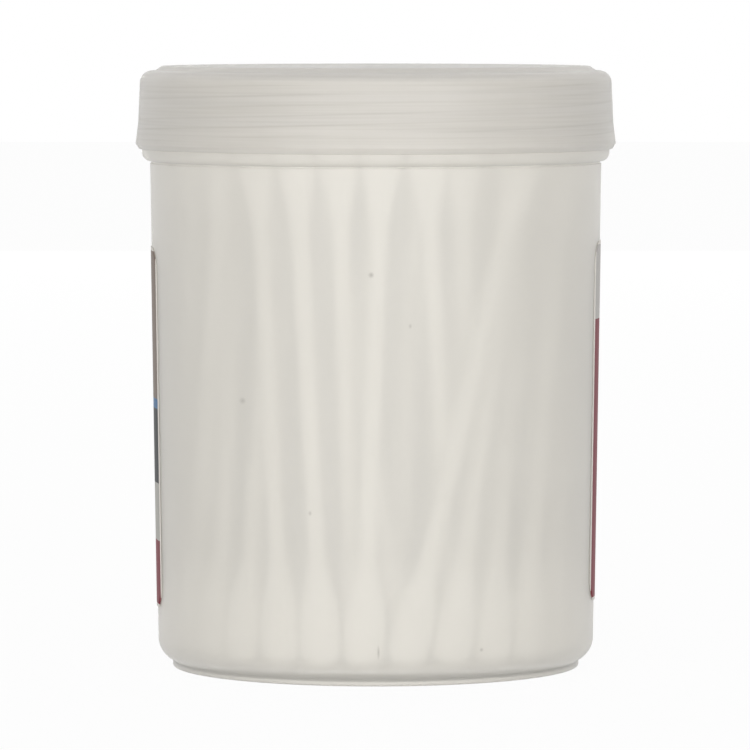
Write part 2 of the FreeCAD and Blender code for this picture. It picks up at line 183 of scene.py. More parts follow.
def buildLatheTree():
    endSteepness = 8.0  # a ridge is at full height an eighth of its lead from either end
    sizes = ("Lead", "Starts", "Ridge Height", "Ridge Width", "Crest Width", "Lowest", "Highest", "Turn")
    tree, given = startTree(
        "latheWithThread",
        [("Profile", "Geometry"), ("Steps", "Int"), *((name, "Float") for name in sizes),
         ("Material", "Material")],
        "Shell",
    )
    profile = given["Profile"]
    rows = addNode(tree, "GeometryNodeAttributeDomainSize", {"Geometry": profile}).outputs["Point Count"]
    known = {name: given[name] for name in sizes}
    known.update(rows=rows, steps=given["Steps"])
    addSteps(tree, "ShaderNodeMath", known, [
        ("columns", "ADD", "steps", 1),
        ("lastRow", "SUBTRACT", "rows", 1),
    ])
    grid = addNode(tree, "GeometryNodeMeshGrid", {"Size X": 1.0, "Size Y": 1.0,
                                                  "Vertices X": known["columns"], "Vertices Y": rows})
    position = addNode(tree, "GeometryNodeInputPosition").outputs[0]
    flat = addNode(tree, "ShaderNodeSeparateXYZ", {0: position}).outputs
    known.update(flatX=flat["X"], flatY=flat["Y"])
    addSteps(tree, "ShaderNodeMath", known, [
        ("around", "ADD", "flatX", 0.5),
        ("along", "ADD", "flatY", 0.5),
        ("rowPlace", "MULTIPLY", "along", "lastRow"),
        ("row", "ROUND", "rowPlace"),
    ])
    onProfile = addNode(tree, "GeometryNodeSampleIndex",
                        {"Geometry": profile, "Value": position, "Index": known["row"]},
                        data_type="FLOAT_VECTOR")
    ridge = addNode(tree, "GeometryNodeInputNamedAttribute", {"Name": "ridge"}, data_type="FLOAT")
    ridgeHere = addNode(tree, "GeometryNodeSampleIndex",
                        {"Geometry": profile, "Value": ridge.outputs[0], "Index": known["row"]},
                        data_type="FLOAT")
    spot = addNode(tree, "ShaderNodeSeparateXYZ", {0: onProfile.outputs[0]}).outputs
    known.update(r=spot["X"], z=spot["Z"], hasRidge=ridgeHere.outputs[0])
    addSteps(tree, "ShaderNodeMath", known, [
        # How far up or down the nearest ridge's middle is
        ("turned", "SUBTRACT", "around", "Turn"),
        ("height", "SUBTRACT", "z", "Lowest"),
        ("climb", "DIVIDE", "height", "Lead"),
        ("behind", "SUBTRACT", "turned", "climb"),
        ("phase", "MULTIPLY", "behind", "Starts"),
        ("nearest", "ROUND", "phase"),
        ("off", "SUBTRACT", "phase", "nearest"),
        ("offSize", "ABSOLUTE", "off"),
        ("pitch", "DIVIDE", "Lead", "Starts"),
        ("offHeight", "MULTIPLY", "offSize", "pitch"),
        # The ridge's section is a flat crest with sloping flanks
        ("halfWidth", "MULTIPLY", "Ridge Width", 0.5),
        ("spare", "SUBTRACT", "Ridge Width", "Crest Width"),
        ("flank", "MULTIPLY", "spare", 0.5),
        ("inside", "SUBTRACT", "halfWidth", "offHeight"),
        ("slope", "DIVIDE", "inside", "flank"),
        # It rises out of the wall at its lower end and sinks into it at its upper end
        ("above", "DIVIDE", "height", "Lead"),
        ("left", "SUBTRACT", "Highest", "z"),
        ("below", "DIVIDE", "left", "Lead"),
        ("end", "MINIMUM", "above", "below"),
        ("endSlope", "MULTIPLY", "end", endSteepness),
        ("lower", "MINIMUM", "slope", "endSlope"),
        ("atMost", "MINIMUM", "lower", 1.0),
        ("section", "MAXIMUM", "atMost", 0.0),
        ("lift", "MULTIPLY", "section", "hasRidge"),
        ("rise", "MULTIPLY", "lift", "Ridge Height"),
        ("radius", "ADD", "r", "rise"),
        ("angle", "MULTIPLY", "around", 2 * math.pi),
        ("cos", "COSINE", "angle"),
        ("sin", "SINE", "angle"),
        ("x", "MULTIPLY", "radius", "cos"),
        ("y", "MULTIPLY", "radius", "sin"),
    ])
    place = addNode(tree, "ShaderNodeCombineXYZ", {"X": known["x"], "Y": known["y"], "Z": known["z"]})
    turned = addNode(tree, "GeometryNodeSetPosition",
                     {"Geometry": grid.outputs["Mesh"], "Position": place.outputs[0]})
    return endTree(tree, turned.outputs[0], given["Material"])


latheTree = buildLatheTree()


# Tub: one moulded piece of natural polypropylene

tubSizes = {
    "steps": 240,
    "baseRadius": 29.45 * mm,
    "shoulderRadius": 30.45 * mm,
    "wall": 1.1 * mm,
    "floorThickness": 1.3 * mm,
    "cornerRadius": 3.2 * mm,
    "footRadius": 27.5 * mm,
    "footWidth": 2.0 * mm,
    "footHeight": 0.7 * mm,
    "grooveHeight": 0.25 * mm,
    "grooveDepth": 0.2 * mm,
    "collarHeight": 1.6 * mm,
    "collarRaise": 0.06 * mm,
    "neckInset": 0.65 * mm,
    "neckWall": 0.9 * mm,
    "neckHeight": 9.7 * mm,
    "threadRoom": 1.15 * mm,
    "threadLead": 5.4 * mm,
    "threadStarts": 2.0,
    "threadHeight": 0.53 * mm,
    "threadWidth": 1.3 * mm,
    "threadCrest": 0.5 * mm,
    "threadStart": 2.1 * mm,
    "threadTopMargin": 1.3 * mm,
}
rimHeight = tubHigh[2]
collarRadius = tubHigh[0]
collarTop = rimHeight - tubSizes["neckHeight"]
collarBottom = collarTop - tubSizes["collarHeight"]
shoulderHeight = collarBottom - tubSizes["grooveHeight"]
neckRadius = tubSizes["shoulderRadius"] - tubSizes["neckInset"]


def wallRadius(height):
    foot = tubSizes["footHeight"]
    share = (height - foot) / (shoulderHeight - foot)
    return tubSizes["baseRadius"] + (tubSizes["shoulderRadius"] - tubSizes["baseRadius"]) * share


def threadValues(ridgeHeight, turn):
    return {
        "Lead": tubSizes["threadLead"],
        "Starts": tubSizes["threadStarts"],
        "Ridge Height": ridgeHeight,
        "Ridge Width": tubSizes["threadWidth"],
        "Crest Width": tubSizes["threadCrest"],
        "Lowest": collarTop + tubSizes["threadStart"],
        "Highest": rimHeight - tubSizes["threadTopMargin"],
        "Turn": turn,
    }


def makeTubMesh():
    s = tubSizes
    foot, width, base, corner = s["footRadius"], s["footWidth"], s["footHeight"], s["cornerRadius"]
    floor = base + s["floorThickness"]
    # The base's round corner runs down to where the foot ring meets it
    centre = Vector((s["baseRadius"] - corner, base + corner))
    lowest, arcSteps = math.acos((foot - centre.x) / corner), 10
    angles = [-lowest + lowest * k / arcSteps for k in range(arcSteps + 1)]
    baseCorner = [(centre.x + corner * math.cos(a), centre.y + corner * math.sin(a), 0, 0) for a in angles]
    groove = s["shoulderRadius"] - s["grooveDepth"]
    bore = neckRadius - s["neckWall"]
    seat = collarTop + s["collarRaise"]
    corners = [
        (0, base, 0, 0),
        (foot - width, base, 0.15 * mm, 0),
        (foot - width, 0, 0.25 * mm, 0),
        (foot, 0, 0.25 * mm, 0),
        *baseCorner,
        (s["shoulderRadius"], shoulderHeight, 0.1 * mm, 0),
        (groove, shoulderHeight, 0.08 * mm, 0),
        (groove, collarBottom, 0.08 * mm, 0),
        (collarRadius, collarBottom, 1.2 * mm, 0),
        (collarRadius, seat, 0.12 * mm, 0),
        (neckRadius, seat, 0.2 * mm, 0),
        (neckRadius, seat + 0.3 * mm, 0, 1),
        (neckRadius, rimHeight - 0.3 * mm, 0, 1),
        (neckRadius, rimHeight, 0.2 * mm, 0),
        (bore, rimHeight, 0.2 * mm, 0),
        (bore, collarTop, 0.4 * mm, 0),
        (s["shoulderRadius"] - s["wall"], shoulderHeight, 0.4 * mm, 0),
        (wallRadius(floor) - s["wall"], floor, corner - s["wall"], 0),
        (0, floor, 0, 0),
    ]
    profile = profileMesh("tub", roundedProfile(corners), 2 * mm)
    values = {"Steps": s["steps"], **threadValues(s["threadHeight"], 0.0)}
    return cleanShell(runTree("tubShell", profile, latheTree, values))


# Cap: the same plastic, a flared skirt with a bevelled lip, and a raised top panel with a sunk ring

capSizes = {
    "steps": 240,
    "wall": 0.8 * mm,
    "topThickness": 1.5 * mm,
    "flare": 0.3 * mm,
    "flareHeight": 3.4 * mm,
    "lipFlare": 0.65 * mm,
    "lipBevel": 0.6 * mm,
    "lipInset": 0.45 * mm,
    "lipGap": 0.01 * mm,
    "cornerRadius": 1.7 * mm,
    "panelInset": 2.9 * mm,
    "panelStep": 0.6 * mm,
    "panelBevel": 0.9 * mm,
    "ringRadius": 23.0 * mm,
    "ringWidth": 0.9 * mm,
    "ringDepth": 0.18 * mm,
    "gateRadius": 1.6 * mm,
    "gateDepth": 0.25 * mm,
    "threadHeight": 0.5 * mm,
}
capBore = neckRadius + tubSizes["threadRoom"]
capRadius = capBore + capSizes["wall"]
capTop = capHigh[2]
capBottom = capLow[2]


def makeCapMesh():
    s = capSizes
    panel = capRadius - s["panelInset"]
    ceiling = capTop - s["topThickness"]
    shoulder = capTop - s["panelStep"]
    lip = capRadius + s["lipFlare"]
    # The lip is all but on the collar, as when the cap is screwed down
    lipBottom = collarTop + tubSizes["collarRaise"] + s["lipGap"]
    ringIn, ringOut = s["ringRadius"] - s["ringWidth"] / 2, s["ringRadius"] + s["ringWidth"] / 2
    corners = [
        (0, ceiling, 0, 0),
        (capBore, ceiling, 0.5 * mm, 0),
        (capBore, ceiling - 0.7 * mm, 0, 1),
        (capBore, lipBottom + 0.4 * mm, 0, 1),
        (capBore, lipBottom, 0.15 * mm, 0),
        (lip - s["lipInset"], lipBottom, 0.1 * mm, 0),
        (lip, capBottom + s["lipBevel"], 0.2 * mm, 0),
        (capRadius + s["flare"], capBottom + s["flareHeight"], 3 * mm, 0),
        (capRadius, shoulder, s["cornerRadius"], 0),
        (panel + s["panelBevel"], shoulder, 0.3 * mm, 0),
        (panel, capTop, 0.3 * mm, 0),
        (ringOut, capTop, 0.1 * mm, 0),
        (ringOut - s["ringDepth"], capTop - s["ringDepth"], 0.08 * mm, 0),
        (ringIn + s["ringDepth"], capTop - s["ringDepth"], 0.08 * mm, 0),
        (ringIn, capTop, 0.1 * mm, 0),
        (s["gateRadius"], capTop, 0.3 * mm, 0),
        (s["gateRadius"] / 2, capTop - s["gateDepth"], 0.3 * mm, 0),
        (0, capTop - s["gateDepth"], 0, 0),
    ]
    profile = profileMesh("cap", roundedProfile(corners), 1.5 * mm)
    values = {"Steps": s["steps"], **threadValues(-s["threadHeight"], 0.25)}
    return cleanShell(runTree("capShell", profile, latheTree, values))


# Label: coated paper stuck round the back of the wall, a little askew

labelSizes = {
    "arc": math.radians(208),
    "bottom": labelLow[2],
    "top": labelHigh[2],
    "glue": 0.01 * mm,
    "thickness": 0.1 * mm,
    "cornerRadius": 3.0 * mm,
    "skew": math.radians(0.5),
    "columns": 220,
    "rows": 48,
    "crowding": 0.6,
}
labelHeight = labelSizes["top"] - labelSizes["bottom"]
labelLength = wallRadius((labelSizes["bottom"] + labelSizes["top"]) / 2) * labelSizes["arc"]


def makeLabelMesh():
    s = labelSizes
    columns, rows, corner = s["columns"], s["rows"], s["cornerRadius"]
    vertices, faces, prints, backs = [], [], [], []
    for layer in (0, 1):
        for i in range(columns + 1):
            # Columns crowd towards the two ends, where the corners are round
            eased = 0.5 - 0.5 * math.cos(math.pi * i / columns)
            share = s["crowding"] * eased + (1 - s["crowding"]) * i / columns
            short = max(0.0, corner - min(share, 1 - share) * labelLength)
            inset = corner - math.sqrt(corner**2 - short**2)
            angle = math.pi / 2 + s["arc"] * (0.5 - share)
            for k in range(rows + 1):
                up = inset + (labelHeight - 2 * inset) * k / rows
                z = s["bottom"] + up + (share - 0.5) * labelLength * math.sin(s["skew"])
                r = wallRadius(z) + s["glue"] + layer * s["thickness"]
                vertices.append((r * math.cos(angle), r * math.sin(angle), z))
                prints.append((share, up / labelHeight))
                backs.append(1.0 - layer)
    total = (columns + 1) * (rows + 1)
    back, front = (
        [[layer * total + i * (rows + 1) + k for k in range(rows + 1)] for i in range(columns + 1)]
        for layer in (0, 1)
    )
    for i in range(columns):
        for k in range(rows):
            faces.append((front[i][k], front[i][k + 1], front[i + 1][k + 1], front[i + 1][k]))
            faces.append((back[i][k], back[i + 1][k], back[i + 1][k + 1], back[i][k + 1]))
        for k in (0, rows):
            faces.append((back[i][k], back[i + 1][k], front[i + 1][k], front[i][k]))
    for i in (0, columns):
        for k in range(rows):
            faces.append((back[i][k], back[i][k + 1], front[i][k + 1], front[i][k]))
    mesh = bpy.data.meshes.new("labelStrip")
    mesh.from_pydata(vertices, [], faces)
    printMap = mesh.uv_layers.new(name="print")
    for loop in mesh.loops:
        printMap.data[loop.index].uv = prints[loop.vertex_index]
    sides = mesh.attributes.new("gluedSide", "FLOAT", "POINT")
    for i, value in enumerate(backs):
        sides.data[i].value = value
    return cleanShell(mesh)


# Swabs: rolled paper sticks with cotton wound on both ends, stood where the frame's sticks stand

swabSizes = {
    "length": 73.0 * mm,
    "stickRadius": 1.2 * mm,
    "tipPad": 2.6 * mm,
    "tipRadius": 2.75 * mm,
    "tipLength": 13.5 * mm,
    "barrelEnd": 6.5 * mm,
    "neckRadius": 1.5 * mm,
    "stickSteps": 20,
    "tipSteps": 22,
    "tailLength": 0.15 * mm,
    "tailShare": 0.98,
    "lumps": 0.2 * mm,
    "lumpSize": 2.4 * mm,
    "lumpLevel": 0.75,
    "fibresPerTip": 80,
    "fibreLength": 0.5 * mm,
    "fibreRadius": 0.014 * mm,
    "fibreReach": 2.2 * mm,
    "fibreSag": 0.3,
    "fibreLean": 0.9,
    "shortestFibre": 0.4,
    "fibreSeed": 4,
}


def swabAxes():
    # Each loose cylinder of the stick node gives one swab: the middles of its two ends
    sticks = bmesh.new()
    sticks.from_mesh(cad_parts["swab_sticks"].data)
    bmesh.ops.remove_doubles(sticks, verts=sticks.verts, dist=0.002 * mm)
    seen, axes = set(), []
    for start in sticks.verts:
        if start in seen:
            continue
        seen.add(start)
        island, queue = [], [start]
        while queue:
            vertex = queue.pop()
            island.append(vertex.co.copy())
            for edge in vertex.link_edges:
                other = edge.other_vert(vertex)
                if other not in seen:
                    seen.add(other)
                    queue.append(other)
        middle = sum(point.z for point in island) / len(island)
        ends = [[p for p in island if p.z < middle], [p for p in island if p.z >= middle]]
        foot, top = (sum(end, Vector()) / len(end) for end in ends)
        axes.append((foot, (top - foot).normalized()))
    sticks.free()
    axes.sort(key=lambda axis: math.atan2(axis[0].y, axis[0].x))
    return axes


def tipProfile():
    # A domed end, a plump barrel, then a long taper to where the cotton thins out on the stick
    s = swabSizes
    radius, domeSteps, taperSteps, straight = s["tipRadius"], 7, 7, 0.35
    points = []
    for k in range(domeSteps + 1):
        angle = math.pi / 2 * k / domeSteps
        points.append(Vector((radius * math.sin(angle), radius * (1 - math.cos(angle)))))
    points.append(Vector((radius, (radius + s["barrelEnd"]) / 2)))
    for k in range(taperSteps + 1):
        share = k / taperSteps
        eased = straight * share + (1 - straight) * share * share * (3 - 2 * share)
        along = s["barrelEnd"] + (s["tipLength"] - s["barrelEnd"]) * share
        points.append(Vector((radius + (s["neckRadius"] - radius) * eased, along)))
    tail = s["tipLength"] + s["tailLength"]
    points += [Vector((s["stickRadius"] * s["tailShare"], tail)), Vector((0, tail))]
    return [(point, 0.0) for point in points]


def buildSwabTree():
    tree, given = startTree(
        "swabRow",
        [("Swabs", "Geometry"), ("Piece", "Object"), ("Along", "Float"), ("Flip", "Float"),
         ("Lumps", "Float"), ("Lump Size", "Float"), ("Seed", "Int"), ("Material", "Material")],
        "Row",
    )
    axis = addNode(tree, "GeometryNodeInputNamedAttribute", {"Name": "axis"},
                   data_type="FLOAT_VECTOR").outputs[0]
    shift = addNode(tree, "ShaderNodeVectorMath", {0: axis, "Scale": given["Along"]}, operation="SCALE")
    placed = addNode(tree, "GeometryNodeSetPosition",
                     {"Geometry": given["Swabs"], "Offset": shift.outputs[0]})
    facing = addNode(tree, "ShaderNodeVectorMath", {0: axis, "Scale": given["Flip"]}, operation="SCALE")
    aligned = addNode(tree, "FunctionNodeAlignRotationToVector", {"Vector": facing.outputs[0]}, axis="Z")
    spin = addNode(tree, "FunctionNodeRandomValue", {2: 0.0, 3: 2 * math.pi, "Seed": given["Seed"]},
                   data_type="FLOAT")
    twist = addNode(tree, "ShaderNodeCombineXYZ", {"Z": spin.outputs[1]})
    twistTurn = addNode(tree, "FunctionNodeEulerToRotation", {0: twist.outputs[0]})
    turn = addNode(tree, "FunctionNodeRotateRotation",
                   {"Rotation": aligned.outputs[0], "Rotate By": twistTurn.outputs[0]},
                   rotation_space="LOCAL")
    piece = addNode(tree, "GeometryNodeObjectInfo", {"Object": given["Piece"]})
    standing = addNode(tree, "GeometryNodeInstanceOnPoints",
                       {"Points": placed.outputs[0], "Instance": piece.outputs["Geometry"],
                        "Rotation": turn.outputs[0]})
    solid = addNode(tree, "GeometryNodeRealizeInstances", {"Geometry": standing.outputs[0]})
    # Wound cotton is never quite even, so its skin dips a little here and there
    known = {"lumps": given["Lumps"], "lumpSize": given["Lump Size"]}
    addSteps(tree, "ShaderNodeMath", known, [("scale", "DIVIDE", 1.0, "lumpSize")])
    known["noise"] = addNode(tree, "ShaderNodeTexNoise",
                             {"Scale": known["scale"], "Detail": 2.0}).outputs[0]
    addSteps(tree, "ShaderNodeMath", known, [
        ("dip", "SUBTRACT", "noise", swabSizes["lumpLevel"]),
        ("depth", "MULTIPLY", "dip", "lumps"),
    ])
    normal = addNode(tree, "GeometryNodeInputNormal").outputs[0]
    inward = addNode(tree, "ShaderNodeVectorMath", {0: normal, "Scale": known["depth"]}, operation="SCALE")
    uneven = addNode(tree, "GeometryNodeSetPosition",
                     {"Geometry": solid.outputs[0], "Offset": inward.outputs[0]})
    return endTree(tree, uneven.outputs[0], given["Material"])


def buildFuzzTree():
    # Loose fibres that stand off the domed end of a tip, each bent over a little
    tree, given = startTree(
        "cottonFuzz",
        [("Tip", "Geometry"), ("Density", "Float"), ("Length", "Float"), ("Radius", "Float"),
         ("Reach", "Float"), ("Seed", "Int"), ("Material", "Material")],
        "Fuzzy Tip",
    )
    position = addNode(tree, "GeometryNodeInputPosition").outputs[0]
    known = {"z": addNode(tree, "ShaderNodeSeparateXYZ", {0: position}).outputs["Z"],
             "length": given["Length"], "reach": given["Reach"]}
    addSteps(tree, "ShaderNodeMath", known, [
        ("domed", "LESS_THAN", "z", "reach"),
        ("sag", "MULTIPLY", "length", swabSizes["fibreSag"]),
    ])
    roots = addNode(tree, "GeometryNodeDistributePointsOnFaces",
                    {"Mesh": given["Tip"], "Selection": known["domed"], "Density": given["Density"],
                     "Seed": given["Seed"]})
    most = swabSizes["fibreLean"]
    lean = addNode(tree, "FunctionNodeRandomValue",
                   {0: (-most, -most, -most), 1: (most, most, most), "Seed": given["Seed"]},
                   data_type="FLOAT_VECTOR")
    known.update(normal=roots.outputs["Normal"], lean=lean.outputs[0])
    addSteps(tree, "ShaderNodeVectorMath", known, [("facing", "ADD", "normal", "lean")])
    aligned = addNode(tree, "FunctionNodeAlignRotationToVector", {"Vector": known["facing"]}, axis="Z")
    end = addNode(tree, "ShaderNodeCombineXYZ", {"X": known["sag"], "Z": given["Length"]})
    knee = addNode(tree, "ShaderNodeCombineXYZ", {"Z": given["Length"]})
    strand = addNode(tree, "GeometryNodeCurveQuadraticBezier",
                     {"Resolution": 3, "Start": (0, 0, 0), "Middle": knee.outputs[0],
                      "End": end.outputs[0]})
    ring = addNode(tree, "GeometryNodeCurvePrimitiveCircle", {"Resolution": 3, "Radius": given["Radius"]})
    fibre = addNode(tree, "GeometryNodeCurveToMesh",
                    {"Curve": strand.outputs[0], "Profile Curve": ring.outputs[0], "Fill Caps": True})
    size = addNode(tree, "FunctionNodeRandomValue",
                   {2: swabSizes["shortestFibre"], 3: 1.0, "Seed": given["Seed"]}, data_type="FLOAT")
    fibres = addNode(tree, "GeometryNodeInstanceOnPoints",
                     {"Points": roots.outputs["Points"], "Instance": fibre.outputs[0],
                      "Rotation": aligned.outputs[0], "Scale": size.outputs[1]})
    both = addNode(tree, "GeometryNodeJoinGeometry")
    tree.links.new(fibres.outputs[0], both.inputs[0])
    tree.links.new(given["Tip"], both.inputs[0])
    return endTree(tree, both.outputs[0], given["Material"])


def swabPoints(axes):
    mesh = bpy.data.meshes.new("swabPoints")
    mesh.from_pydata([foot - axis * swabSizes["tipPad"] for foot, axis in axes], [], [])
    directions = mesh.attributes.new("axis", "FLOAT_VECTOR", "POINT")
    for i, (_, axis) in enumerate(axes):
        directions.data[i].vector = axis
    return mesh


def makeSwabShapes(cotton):
    # One stick, one smooth tip for below and one fuzzy tip for above, each made once
    s = swabSizes
    length = s["length"] - 2 * s["tipPad"]
    corners = [(0, 0, 0, 0), (s["stickRadius"], 0, 0.1 * mm, 0),
               (s["stickRadius"], length, 0.1 * mm, 0), (0, length, 0, 0)]
    stickProfile = profileMesh("stick", roundedProfile(corners), length)
    stick = cleanShell(runTree("stickShape", stickProfile, latheTree, {"Steps": s["stickSteps"]}))
    tip = cleanShell(runTree("tipShape", profileMesh("tip", tipProfile(), 2 * mm), latheTree,
                             {"Steps": s["tipSteps"]}))
    domeArea = 2 * math.pi * s["tipRadius"] * s["fibreReach"]
    fuzz = {"Density": s["fibresPerTip"] / domeArea, "Length": s["fibreLength"], "Radius": s["fibreRadius"],
            "Reach": s["fibreReach"], "Seed": s["fibreSeed"], "Material": cotton}
    fuzzyTip = runTree("fuzzyTipShape", tip.copy(), buildFuzzTree(), fuzz)
    shapes = []
    for mesh in (stick, tip, fuzzyTip):
        shapes.append(bpy.data.objects.new(mesh.name, mesh))
        bpy.context.collection.objects.link(shapes[-1])
    return shapes


# Materials

tubLook = {
    "milky": "#F6F3EC",
    "clear": "#F2EFE8",
    "clearness": 0.5,
    "roughness": 0.34,
    "gloss": 0.14,
    "lampSoak": 0.62,
    "roomSoak": 0.85,
    "cloudSize": 11 * mm,
    "grainSize": 0.4 * mm,  # a fine spark texture, drawn about twice as coarse so that it shows
    "grainStrength": 0.2,
    "grainDepth": 0.02 * mm,
    "ior": 1.49,
    "speckColour": "#6F6A60",
}
capLook = {
    **tubLook,
    # The cap's milky and clear colours are darker than the tub's: painted shade for the cap's dimmer look
    "milky": "#F0EDE8",
    "clear": "#EBE8E2",
    "clearness": 0.6,
    "roughness": 0.38,
    "cloudSize": 8 * mm,
    # painted shade: the colour of the lines drawn where the threads' flanks stand behind the skirt
    "threadPaintedShade": "#D6D3CB",
    "threadLineWidth": 0.2 * mm,
    "threadLineHeight": 77.94 * mm,
    "threadPatch": (40 * mm, 4 * mm),  # length and height of the stretches in which a line shows
    "threadHidden": 0.4,
    "threadContrast": 3.0,
    "threadFaintest": 0.05,
    "toolMarkShade": "#D3D0C8",
    "toolMarkLength": 25 * mm,
    "toolMarkPitch": 0.3 * mm,
    "toolMarkHidden": 0.4,
}
# Specks in the tub's front wall: place from its middle line, height, radius, tallness and depth of colour
specks = [
    (-0.6 * mm, 54.2 * mm, 0.45 * mm, 1.0, 0.44),
    (-17.5 * mm, 37.4 * mm, 0.5 * mm, 1.0, 0.32),
    (-8.6 * mm, 22.9 * mm, 0.28 * mm, 1.4, 0.36),
    (4.5 * mm, 47.5 * mm, 0.25 * mm, 1.6, 0.32),
    (13.9 * mm, 4.7 * mm, 0.32 * mm, 1.0, 0.36),
    (0.35 * mm, 4.7 * mm, 0.22 * mm, 5.0, 0.4),
]


def startPolypropylene(name, look):
    # Natural polypropylene, injection moulded: milky, because its crystals scatter light, and matt from a
    # fine texture in the mould, so what is inside shows only as soft streaks
    material, tree, shader = newMaterial(name)
    where = addNode(tree, "ShaderNodeTexCoord").outputs["Object"]
    clouds = addNode(tree, "ShaderNodeTexNoise",
                     {"Vector": where, "Scale": 1 / look["cloudSize"], "Detail": 3.0})
    colour = addNode(tree, "ShaderNodeMix",
                     {0: clouds.outputs[0], 6: srgb(look["milky"]), 7: srgb(look["clear"])},
                     data_type="RGBA")
    shader.inputs["Roughness"].default_value = look["roughness"]
    shader.inputs["IOR"].default_value = look["ior"]
    shader.inputs["Specular IOR Level"].default_value = look["gloss"]
    shader.inputs["Transmission Weight"].default_value = look["clearness"]
    grain = addNode(tree, "ShaderNodeTexNoise",
                    {"Vector": where, "Scale": 1 / look["grainSize"], "Detail": 2.0})
    frost = addNode(tree, "ShaderNodeBump",
                    {"Height": grain.outputs[0], "Strength": look["grainStrength"],
                     "Distance": look["grainDepth"]})
    tree.links.new(frost.outputs[0], shader.inputs["Normal"])
    # Scattered light soaks through the thin wall, so lamps and the room also light what is behind it
    rays = addNode(tree, "ShaderNodeLightPath").outputs
    known = {"shadow": rays["Is Shadow Ray"], "diffuse": rays["Is Diffuse Ray"]}
    addSteps(tree, "ShaderNodeMath", known, [
        ("fromLamps", "MULTIPLY", "shadow", look["lampSoak"]),
        ("fromRoom", "MULTIPLY", "diffuse", look["roomSoak"]),
        ("soaked", "MAXIMUM", "fromLamps", "fromRoom"),
    ])
    through = addNode(tree, "ShaderNodeBsdfTransparent")
    mixed = addNode(tree, "ShaderNodeMixShader",
                    {0: known["soaked"], 1: shader.outputs[0], 2: through.outputs[0]})
    tree.links.new(mixed.outputs[0], tree.nodes["Material Output"].inputs["Surface"])
    return material, tree, shader, where, colour.outputs[2]


def makeTubMaterial():
    material, tree, shader, where, colour = startPolypropylene("frostedPolypropyleneTub", tubLook)
    front = addNode(tree, "ShaderNodeSeparateXYZ", {0: where}).outputs["Y"]
    for x, z, radius, tallness, depth in specks:
        wide, tall = 1 / radius, 1 / (radius * tallness)
        spot = addNode(tree, "ShaderNodeMapping",
                       {"Vector": where, "Location": (-x * wide, 0, -z * tall), "Scale": (wide, 0, tall)})
        apart = addNode(tree, "ShaderNodeVectorMath", {0: spot.outputs[0]}, operation="LENGTH")
        known = {"apart": apart.outputs[1], "y": front}
        addSteps(tree, "ShaderNodeMath", known, [
            ("inside", "SUBTRACT", 1.0, "apart"),
            ("dark", "MAXIMUM", "inside", 0.0),
            ("atFront", "LESS_THAN", "y", 0.0),
            ("shown", "MULTIPLY", "dark", "atFront"),
            ("share", "MULTIPLY", "shown", depth),
        ])
        colour = addNode(tree, "ShaderNodeMix",
                         {0: known["share"], 6: colour, 7: srgb(tubLook["speckColour"])},
                         data_type="RGBA").outputs[2]
    tree.links.new(colour, shader.inputs["Base Color"])
    return material


def makeCapMaterial():
    # Where the two threads' flanks stand behind the skirt, fine darker lines that climb to the right are
    # painted shade for them, and the turned mould leaves finer level ones
    material, tree, shader, where, colour = startPolypropylene("frostedPolypropyleneCap", capLook)
    axes = addNode(tree, "ShaderNodeSeparateXYZ", {0: where}).outputs
    linesPerTurn = 2 * tubSizes["threadStarts"]
    levelMarks = {"threadStrength": capLook["threadPatch"],
                  "marks": (capLook["toolMarkLength"], capLook["toolMarkPitch"])}
    known = {"x": axes["X"], "y": axes["Y"], "z": axes["Z"]}
    for name, (long, tall) in levelMarks.items():
        stretched = addNode(tree, "ShaderNodeMapping",
                            {"Vector": where, "Scale": (1 / long, 1 / long, 1 / tall)})
        noise = addNode(tree, "ShaderNodeTexNoise",
                        {"Vector": stretched.outputs[0], "Scale": 1.0, "Detail": 1.5})
        known[name] = noise.outputs[0]
    addSteps(tree, "ShaderNodeMath", known, [
        ("angle", "ARCTAN2", "y", "x"),
        ("turn", "DIVIDE", "angle", 2 * math.pi),
        ("up", "SUBTRACT", "z", capLook["threadLineHeight"]),
        ("climb", "DIVIDE", "up", tubSizes["threadLead"]),
        ("behind", "SUBTRACT", "turn", "climb"),
        ("phase", "MULTIPLY", "behind", linesPerTurn),
        ("nearest", "ROUND", "phase"),
        ("off", "SUBTRACT", "phase", "nearest"),
        ("offSize", "ABSOLUTE", "off"),
        ("offHeight", "MULTIPLY", "offSize", tubSizes["threadLead"] / linesPerTurn),
        ("offShare", "DIVIDE", "offHeight", capLook["threadLineWidth"]),
        ("inside", "SUBTRACT", 1.0, "offShare"),
        ("line", "MAXIMUM", "inside", 0.0),
        ("notLow", "GREATER_THAN", "z", collarTop + tubSizes["threadStart"]),
        ("notHigh", "LESS_THAN", "z", rimHeight - tubSizes["threadTopMargin"] / 2),
        ("window", "MULTIPLY", "notLow", "notHigh"),
        ("some", "SUBTRACT", "threadStrength", capLook["threadHidden"]),
        ("more", "MULTIPLY", "some", capLook["threadContrast"]),
        ("level", "MAXIMUM", "more", capLook["threadFaintest"]),
        ("shown", "MULTIPLY", "line", "window"),
        ("lines", "MULTIPLY", "shown", "level"),
        ("overMiddle", "SUBTRACT", "marks", capLook["toolMarkHidden"]),
        ("toolMarks", "MAXIMUM", "overMiddle", 0.0),
    ])
    # The thread lines mixed in here are painted shade; the tool marks are the mould's own
    for share, shade in (("lines", "threadPaintedShade"), ("toolMarks", "toolMarkShade")):
        colour = addNode(tree, "ShaderNodeMix", {0: known[share], 6: colour, 7: srgb(capLook[shade])},
                         data_type="RGBA").outputs[2]
    tree.links.new(colour, shader.inputs["Base Color"])
    return material


labelLook = {
    "paper": "#E9E5DE",
    "border": 0.45 * mm,
    "showThrough": 0.3,
    "maroon": "#780E26",
    "charcoal": "#24292B",
    "blue": "#3F6E9A",
    "paleGrey": "#B6B5AE",
    "warmGrey": "#82746A",
    "lightGrey": "#BEBBB7",
    "fibreSize": 0.7 * mm,
    "fibreStrength": 0.15,
    "fibreDepth": 0.01 * mm,
    "roughness": 0.4,
    "ior": 1.5,
    "gloss": 0.05,
}
